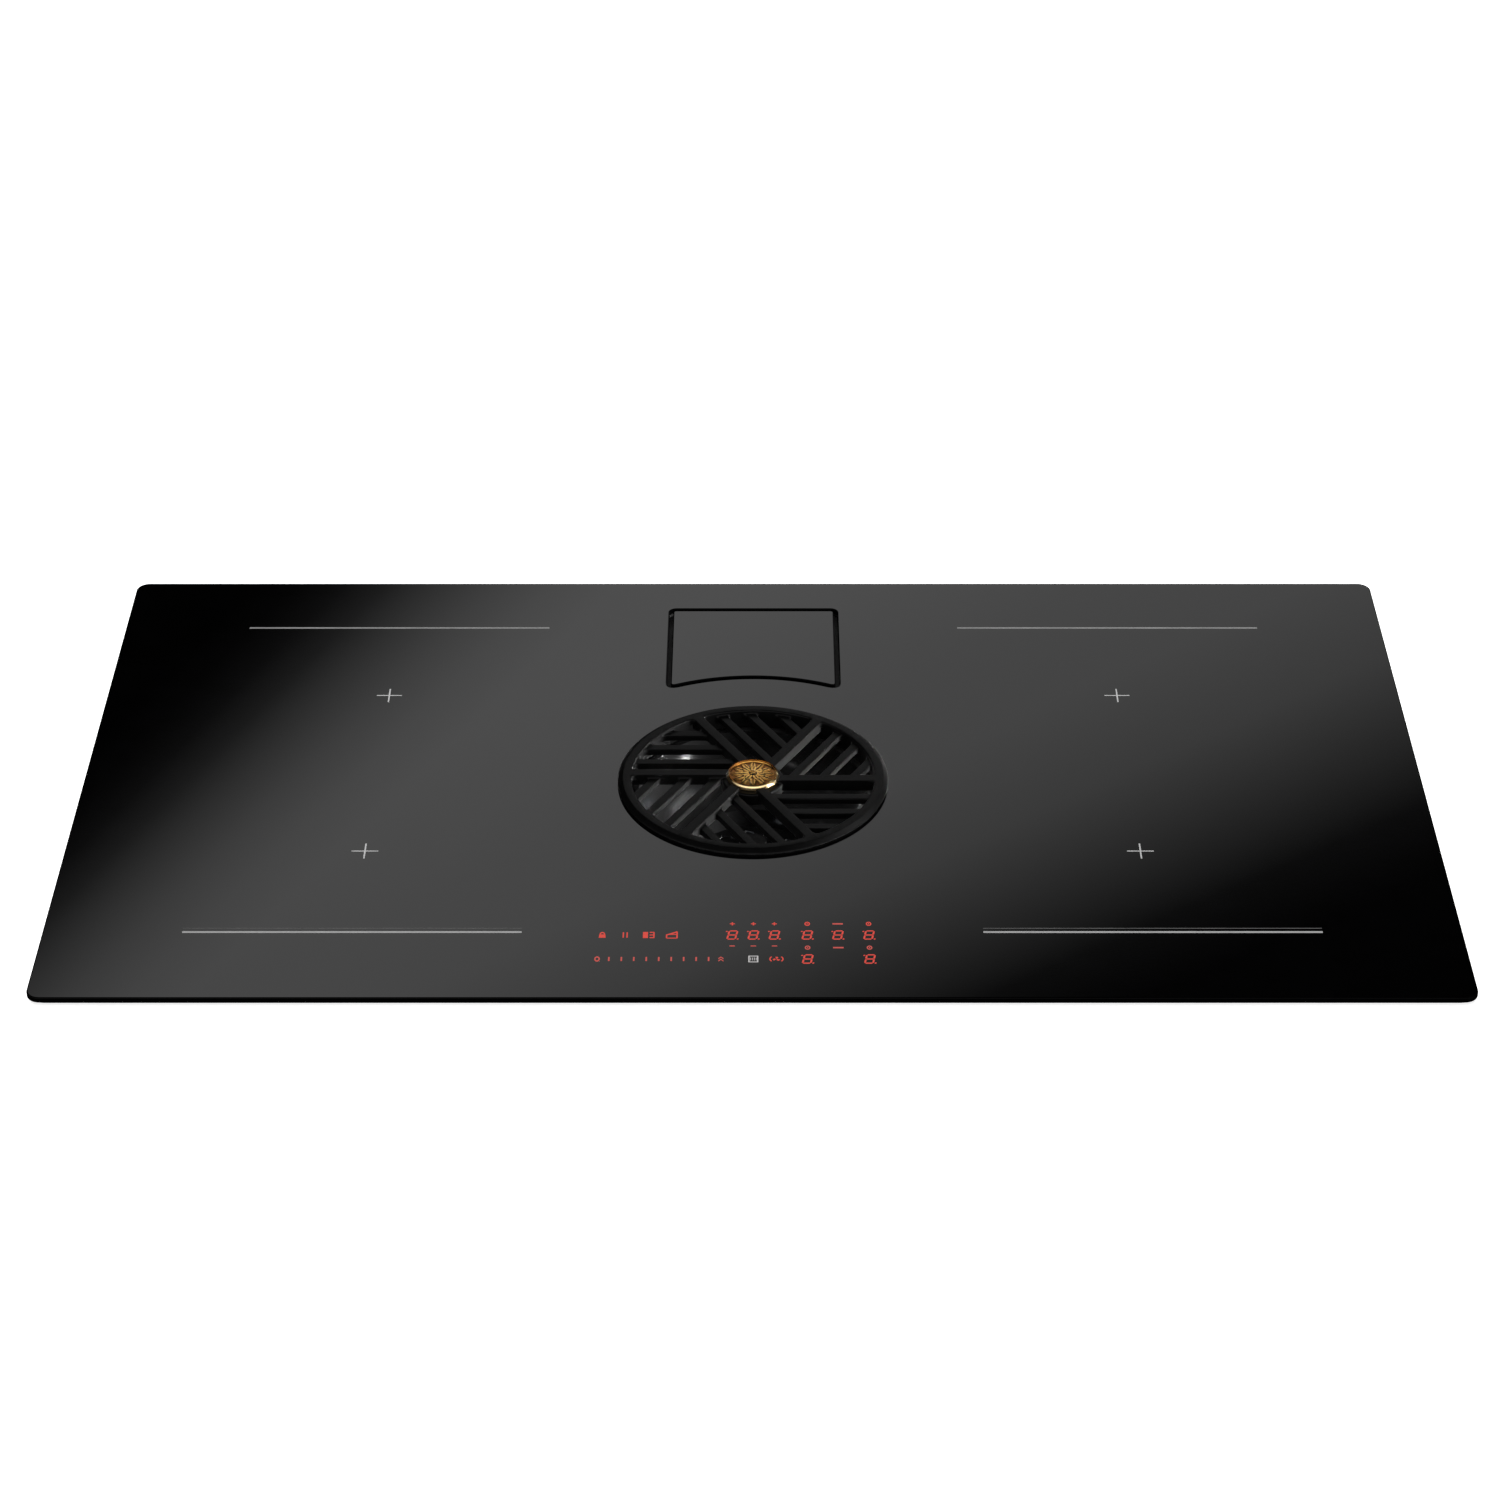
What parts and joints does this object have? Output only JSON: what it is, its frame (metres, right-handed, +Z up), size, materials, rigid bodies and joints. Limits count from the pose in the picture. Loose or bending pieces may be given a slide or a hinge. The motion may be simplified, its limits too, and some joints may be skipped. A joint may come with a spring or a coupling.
{
  "type": "induction cooktop",
  "caption": "Black glass induction cooktop with a round central extractor grille, a separate plate behind it, printed zone marks, and a tray, fan box and spill tank below.",
  "frame": {"origin": "under the middle of the glass, on the underside of the fan box", "axes": "+X to the right as the cook sees it, +Y to the back of the worktop, +Z up"},
  "size_m": [0.9, 0.51, 0.2202],
  "materials": {
    "black_glass": "polished black glass-ceramic with pale printed marks",
    "foam_seal": "soft closed-cell foam tape",
    "galvanised_sheet": "galvanised sheet steel",
    "bare_aluminium": "plain rolled and machined aluminium",
    "black_casting": "satin black coated aluminium casting",
    "aged_brass": "polished brass with darker relief",
    "black_silicone": "black silicone",
    "black_moulding": "black moulded plastic",
    "grey_moulding": "dark grey heat-proof moulded plastic",
    "stainless_steel": "stainless and electrical steel",
    "copper_litz": "varnished copper litz wire",
    "mica": "pressed mica sheet",
    "circuit_board": "green solder mask",
    "black_enamel": "glossy black enamel",
    "grey_tank": "grey dishwasher-safe plastic"
  },
  "bodies": {
    "hob": {"glass_top": "black_glass", "glass_seal": "foam_seal", "base_tray": "galvanised_sheet", "worktop_clamp_left_front": "stainless_steel", "worktop_clamp_left_rear": "stainless_steel", "worktop_clamp_right_front": "stainless_steel", "worktop_clamp_right_rear": "stainless_steel", "coil_former_left_front": "grey_moulding", "coil_winding_left_front": "copper_litz", "glass_sensor_left_front": "black_silicone", "coil_former_left_rear": "grey_moulding", "coil_winding_left_rear": "copper_litz", "glass_sensor_left_rear": "black_silicone", "coil_former_right_front": "grey_moulding", "coil_winding_right_front": "copper_litz", "glass_sensor_right_front": "black_silicone", "coil_former_right_rear": "grey_moulding", "coil_winding_right_rear": "copper_litz", "glass_sensor_right_rear": "black_silicone", "coil_plate_left": "bare_aluminium", "mica_sheet_left": "mica", "power_board_left": "circuit_board", "heatsink_left": "bare_aluminium", "coil_plate_right": "bare_aluminium", "mica_sheet_right": "mica", "power_board_right": "circuit_board", "heatsink_right": "bare_aluminium", "cooler_frame_left": "black_moulding", "cooler_frame_right": "black_moulding", "touch_cradle": "black_moulding", "touch_board": "circuit_board", "display_block": "grey_moulding", "terminal_box": "black_moulding", "terminal_cover": "black_moulding", "cable_gland": "black_moulding", "scale_gutter": "black_silicone", "scale_carrier": "bare_aluminium", "load_cell": "bare_aluminium", "load_cell_post": "galvanised_sheet", "intake_well": "black_moulding", "fan_box": "black_moulding", "fan_box_cover": "black_moulding", "air_deck": "black_moulding", "motor_stator": "stainless_steel", "inlet_ring": "black_moulding", "fan_scroll": "black_moulding", "duct_spigot": "black_moulding"},
    "grille_set": {"grille": "black_casting", "grille_gasket": "black_silicone", "medal_bezel": "aged_brass", "medal_disc": "aged_brass"},
    "filter_set": {"filter_bowl": "black_enamel", "filter_screen": "stainless_steel", "filter_knob": "black_moulding"},
    "scale_top": {"scale_plate": "black_glass"},
    "tank": {"spill_tank": "grey_tank"},
    "fan_rotor": {"impeller": "grey_moulding", "motor_shaft": "stainless_steel"},
    "cooler_left": {"cooler_rotor_left": "grey_moulding"},
    "cooler_right": {"cooler_rotor_right": "grey_moulding"}
  },
  "joints": [
    {"name": "grille_lift", "type": "slide", "parent": "hob", "child": "grille_set", "axis": [0, 0, 1], "range_m": [0, 0.15]},
    {"name": "filter_lift", "type": "slide", "parent": "hob", "child": "filter_set", "axis": [0, 0, 1], "range_m": [0, 0.075]},
    {"name": "scale_plate_lift", "type": "slide", "parent": "hob", "child": "scale_top", "axis": [0, 0, 1], "range_m": [0, 0.06]},
    {"name": "spill_tank_pull", "type": "slide", "parent": "hob", "child": "tank", "axis": [0, -1, 0], "range_m": [0, 0.215]},
    {"name": "fan_spin", "type": "hinge", "parent": "hob", "child": "fan_rotor", "pos_m": [0, 0.148, 0.06], "axis": [0, 0, 1], "continuous": true},
    {"name": "cooler_spin_left", "type": "hinge", "parent": "hob", "child": "cooler_left", "pos_m": [-0.2535, 0.143, 0.172], "axis": [0, 0, 1], "continuous": true},
    {"name": "cooler_spin_right", "type": "hinge", "parent": "hob", "child": "cooler_right", "pos_m": [0.2535, 0.143, 0.172], "axis": [0, 0, 1], "continuous": true}
  ],
  "couplings": [
    {"joint": "filter_lift", "follows": "grille_lift", "ratio": 0.5}
  ]
}
